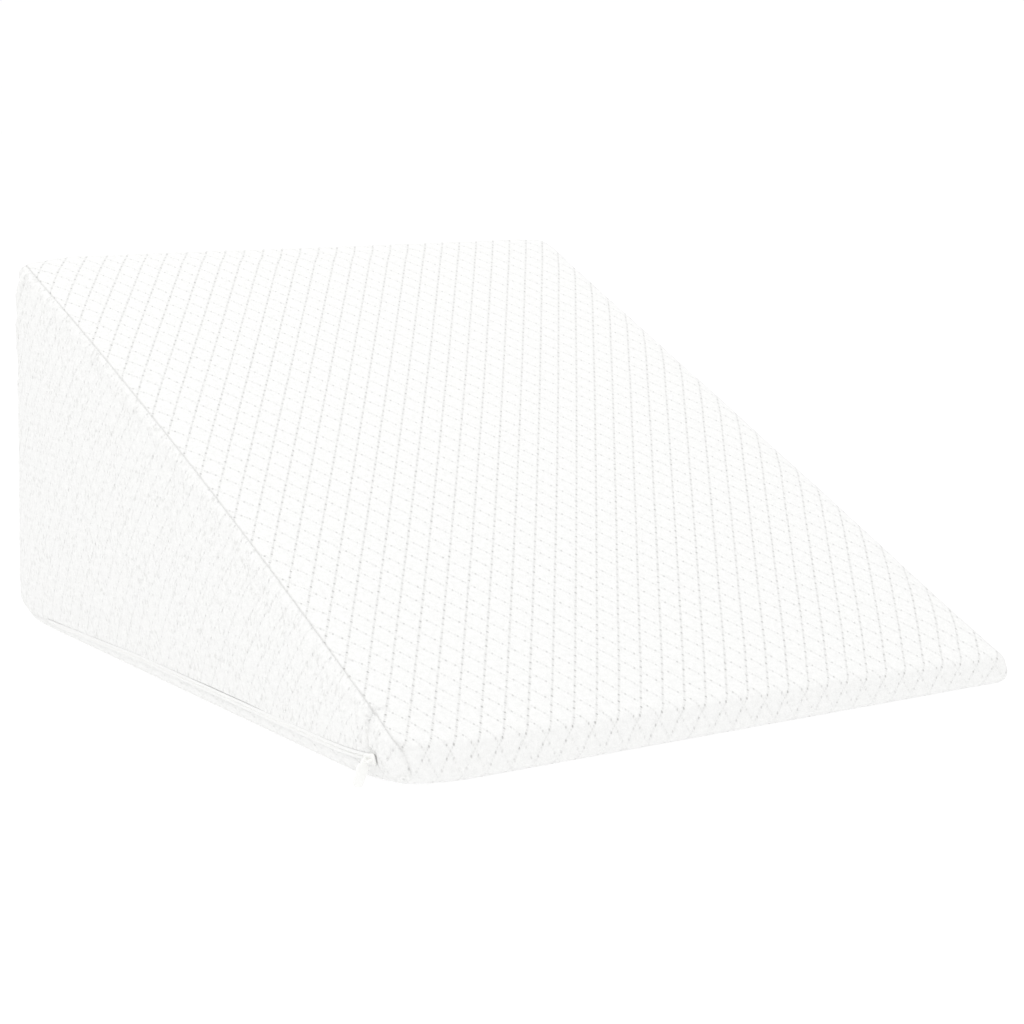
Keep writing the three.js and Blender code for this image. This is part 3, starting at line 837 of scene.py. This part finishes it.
    low = addNode(tree, "ShaderNodeMath", {0: line, 1: -0.2}, operation="MULTIPLY")
    lower = addNode(tree, "ShaderNodeMath", {0: pin, 1: -0.15, 2: low}, operation="MULTIPLY_ADD")
    lowest = addNode(tree, "ShaderNodeMath", {0: hole, 1: -0.3, 2: lower}, operation="MULTIPLY_ADD")
    loopy = addNode(tree, "ShaderNodeMath", {0: loops.outputs["Distance"], 1: -0.35, 2: lowest},
                    operation="MULTIPLY_ADD")
    height = addNode(tree, "ShaderNodeMath", {0: cloud.outputs["Fac"], 1: 0.7, 2: loopy},
                     operation="MULTIPLY_ADD")
    bump = addNode(tree, "ShaderNodeBump", {"Height": height, "Strength": 0.8, "Distance": 0.0009})
    tree.links.new(bump.outputs[0], shader.inputs["Normal"])
    shader.inputs["Roughness"].default_value = look["roughness"]
    shader.inputs["Sheen Weight"].default_value = 0.12
    shader.inputs["Sheen Roughness"].default_value = 0.6
    shader.inputs["Specular IOR Level"].default_value = 0.25
    return material


cushion.data.materials.append(coverMaterial())
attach(cushion, "root")
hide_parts("wedge_cushion")


# The zip's two woven tapes and the nylon coil between them, in the channel of the left foot seam
zipParts = {
    "endGap": 1.5,
    "tape": (0.35, 2.52),  # from the middle of the zip outwards
    "tapeSink": (0.02, 0.26),  # its upper and lower face under the cover's surface
    "coilSink": 0.12,
    "pitch": 0.95,
    "barLong": 1.3,
    "barThick": 0.62,
    "aside": 0.28,  # neighbouring bars belong to opposite tapes
}


def zipLine(offset, sink):
    side = cover["left"]
    turn = side["turn"] + turnOver(side, side["turn"], offset)
    places = filled(*edgeRaw(side, turn, sink), np.full(cover["rows"], side["nose"]))
    return places[side["zipped"]]


zipMiddle = zipLine(0.0, 0.0)
zipRun = np.concatenate([[0], np.cumsum(np.linalg.norm(np.diff(zipMiddle, axis=0), axis=1))])


def alongZip(places, offset, sink):
    line = zipLine(offset, sink)
    return np.stack([np.interp(places, zipRun, line[:, k]) for k in range(3)], -1)


def zipTape(name, sign):
    inner, outer = zipParts["tape"]
    top, bottom = zipParts["tapeSink"]
    corners = [(inner, bottom), (inner, top), ((inner + outer) / 2, top - 0.06), (outer, top), (outer, bottom)]
    places = np.linspace(zipParts["endGap"], zipRun[-1] - zipParts["endGap"], 174)
    rings = np.array([alongZip(places, sign * offset, sink) for offset, sink in corners])
    count, size = len(places), len(corners)
    points = rings.transpose(1, 0, 2).reshape(-1, 3)
    faces = [[i * size + k, i * size + (k + 1) % size, (i + 1) * size + (k + 1) % size, (i + 1) * size + k]
             for i in range(count - 1) for k in range(size)]
    faces += [list(range(size))[::-1], [(count - 1) * size + k for k in range(size)]]
    tape = meshFrom(name, points, faces)
    layer = tape.data.uv_layers.new(name="cover")
    for loop in tape.data.loops:
        ring, corner = divmod(loop.vertex_index, size)
        layer.data[loop.index].uv = (places[ring] * mm, corners[corner][0] * mm)
    faceOut(tape)
    return tape


def faceOut(thing):
    bpy.ops.object.select_all(action="DESELECT")
    thing.select_set(True)
    bpy.context.view_layer.objects.active = thing
    bpy.ops.object.mode_set(mode="EDIT")
    bpy.ops.mesh.select_all(action="SELECT")
    bpy.ops.mesh.normals_make_consistent(inside=False)
    bpy.ops.object.mode_set(mode="OBJECT")


def selectFacing(thing, axis, sign):
    bpy.ops.mesh.select_all(action="DESELECT")
    bpy.ops.object.mode_set(mode="OBJECT")
    for face in thing.data.polygons:
        face.select = getattr(face.normal, axis) * sign > 0.9
    bpy.ops.object.mode_set(mode="EDIT")


def coilBar():
    # one visible loop of the coil: a short round bar across the zip, its ends bent down into the tape
    bpy.ops.object.select_all(action="DESELECT")
    bpy.ops.mesh.primitive_cylinder_add(vertices=8, radius=zipParts["barThick"] / 2, depth=zipParts["barLong"],
                                        rotation=(0, math.pi / 2, 0))
    bar = bpy.context.object
    bar.name = "coil bar"
    bpy.ops.object.transform_apply(location=True, rotation=True, scale=True)
    bpy.ops.object.mode_set(mode="EDIT")
    for up in (1, -1):
        selectFacing(bar, "x", up)
        bpy.ops.mesh.extrude_region_move(TRANSFORM_OT_translate={"value": (0.3 * up, 0, -0.12)})
        bpy.ops.transform.resize(value=(1, 0.92, 0.92))
        bpy.ops.mesh.extrude_region_move(TRANSFORM_OT_translate={"value": (0.16 * up, 0, -0.3)})
        bpy.ops.transform.resize(value=(1, 0.75, 0.75))
    bpy.ops.object.mode_set(mode="OBJECT")
    return bar


def zipCoil():
    bar = coilBar()
    shape = np.array([v.co for v in bar.data.vertices])
    faces = [list(face.vertices) for face in bar.data.polygons]
    bpy.data.objects.remove(bar)
    places = np.arange(zipParts["endGap"] + 1, zipRun[-1] - zipParts["endGap"] - 1, zipParts["pitch"])
    middle = alongZip(places, 0.0, zipParts["coilSink"])
    across = alongZip(places, 1.0, 0.0) - alongZip(places, -1.0, 0.0)
    outwards = alongZip(places, 0.0, 0.0) - alongZip(places, 0.0, 1.0)
    across /= np.linalg.norm(across, axis=1)[:, None]
    outwards /= np.linalg.norm(outwards, axis=1)[:, None]
    ahead = np.cross(outwards, across)
    points, allFaces = [], []
    for k in range(len(places)):
        aside = zipParts["aside"] * (1 if k % 2 else -1)
        turned = shape @ np.array([across[k], ahead[k], outwards[k]])
        points.append(middle[k] + across[k] * aside + turned)
        allFaces += [[v + k * len(shape) for v in face] for face in faces]
    coil = meshFrom("zip_coil", np.concatenate(points), allFaces)
    coil.data.shade_smooth()
    return coil


def surfaceNoise(tree, shader, scale, low, high, bumpDepth):
    place = addNode(tree, "ShaderNodeTexCoord")
    specks = addNode(tree, "ShaderNodeTexNoise",
                     {"Vector": place.outputs["Object"], "Scale": scale, "Detail": 3.0})
    rough = addNode(tree, "ShaderNodeMapRange", {0: specks.outputs["Fac"], 3: low, 4: high})
    tree.links.new(rough.outputs[0], shader.inputs["Roughness"])
    bump = addNode(tree, "ShaderNodeBump",
                   {"Height": specks.outputs["Fac"], "Strength": 0.3, "Distance": bumpDepth})
    tree.links.new(bump.outputs[0], shader.inputs["Normal"])


def enamelMaterial():
    # white enamel baked on die-cast zinc: an even coat with a soft gloss and a faint orange peel
    material, tree, shader = newMaterial("white enamel on die-cast zinc")
    shader.inputs["Base Color"].default_value = toLinear("#F7F7F5")
    shader.inputs["Coat Weight"].default_value = 0.2
    surfaceNoise(tree, shader, 700.0, 0.28, 0.38, 0.00008)
    return material


def coilMaterial():
    # drawn nylon filament, dyed white: smooth and a little translucent
    material, tree, shader = newMaterial("white nylon monofilament coil")
    shader.inputs["Base Color"].default_value = toLinear("#F6F6F4")
    shader.inputs["Subsurface Weight"].default_value = 0.15
    shader.inputs["Subsurface Radius"].default_value = (0.001, 0.001, 0.001)
    surfaceNoise(tree, shader, 1500.0, 0.38, 0.48, 0.00004)
    return material


def tapeMaterial():
    # woven polyester tape: slanting twill ribs. Real ones are about 0.6 mm apart, too fine to show, so they are
    # drawn 1.7 mm apart
    material, tree, shader = newMaterial("white woven polyester zip tape")
    uv = addNode(tree, "ShaderNodeUVMap", uv_map="cover")
    ribs = addNode(tree, "ShaderNodeTexWave", {"Vector": uv, "Scale": 260.0, "Distortion": 1.0},
                   bands_direction="DIAGONAL")
    tone = addNode(tree, "ShaderNodeMix",
                   {0: ribs.outputs["Fac"], 6: toLinear("#F0F0EF"), 7: toLinear("#F4F4F3")}, data_type="RGBA")
    tree.links.new(tone.outputs[2], shader.inputs["Base Color"])
    bump = addNode(tree, "ShaderNodeBump", {"Height": ribs.outputs["Fac"], "Strength": 0.4, "Distance": 0.0002})
    tree.links.new(bump.outputs[0], shader.inputs["Normal"])
    shader.inputs["Roughness"].default_value = 0.85
    return material


# The pull hangs from the slider's bridge and leans out. Its eye is too small to show open, and is left solid.
pull = {
    "top": (-260.6, -274.5, 18.2),
    "lean": -20.0,  # degrees from upright, its end to the left
    "wide": 8.6,
    "thick": 1.6,
    "tabLong": 11.5,
    "neck": 0.5,  # share of the width
    "neckLong": 2.6,
    "eyeLong": 2.8,
    "foot": {"drawnIn": 0.84, "long": 1.3, "narrower": (0.66, 0.9)},
    "bevel": 0.5,
}


def pullTab():
    wide, thick, tabLong = pull["wide"], pull["thick"], pull["tabLong"]
    bpy.ops.object.select_all(action="DESELECT")
    bpy.ops.mesh.primitive_cube_add(size=1)
    tab = bpy.context.object
    tab.name = "zip_pull_tab"
    tab.scale = (wide * mm, thick * mm, tabLong * mm)
    bpy.ops.object.transform_apply(location=True, rotation=True, scale=True)
    bpy.ops.object.mode_set(mode="EDIT")
    foot = pull["foot"]
    selectFacing(tab, "z", -1)
    bpy.ops.transform.resize(value=(foot["drawnIn"], 1, 1))
    bpy.ops.mesh.extrude_region_move(TRANSFORM_OT_translate={"value": (0, 0, -foot["long"] * mm)})
    bpy.ops.transform.resize(value=(*foot["narrower"], 1))
    selectFacing(tab, "z", 1)
    bpy.ops.mesh.extrude_region_move(TRANSFORM_OT_translate={"value": (0, 0, pull["neckLong"] * mm)})
    bpy.ops.transform.resize(value=(pull["neck"], 1, 1))
    bpy.ops.mesh.extrude_region_move(TRANSFORM_OT_translate={"value": (0, 0, pull["eyeLong"] * mm)})
    bpy.ops.mesh.select_all(action="SELECT")
    bpy.ops.mesh.bevel(offset=pull["bevel"] * mm, segments=3, affect="EDGES")
    bpy.ops.transform.translate(value=(0, 0, -(tabLong / 2 + pull["neckLong"] + pull["eyeLong"]) * mm))
    bpy.ops.transform.rotate(value=math.radians(pull["lean"]), orient_axis="Y", center_override=(0, 0, 0))
    bpy.ops.transform.translate(value=[length * mm for length in pull["top"]])
    bpy.ops.object.mode_set(mode="OBJECT")
    bpy.ops.object.shade_smooth_by_angle(angle=math.radians(40))
    return tab


woven, enamel = tapeMaterial(), enamelMaterial()
upperTape, lowerTape, coil = zipTape("zip_tape_upper", -1), zipTape("zip_tape_lower", 1), zipCoil()
for piece, material in ((upperTape, woven), (lowerTape, woven), (coil, coilMaterial())):
    piece.data.materials.append(material)
    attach(piece, "root")
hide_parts("zip_chain")
slider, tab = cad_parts["zip_slider"], pullTab()
for piece in (slider, tab):
    piece.data.materials.clear()
    piece.data.materials.append(enamel)
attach(tab, "root")
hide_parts("zip_pull")
print("zip closed:", len(coil.data.polygons), "faces in the coil")
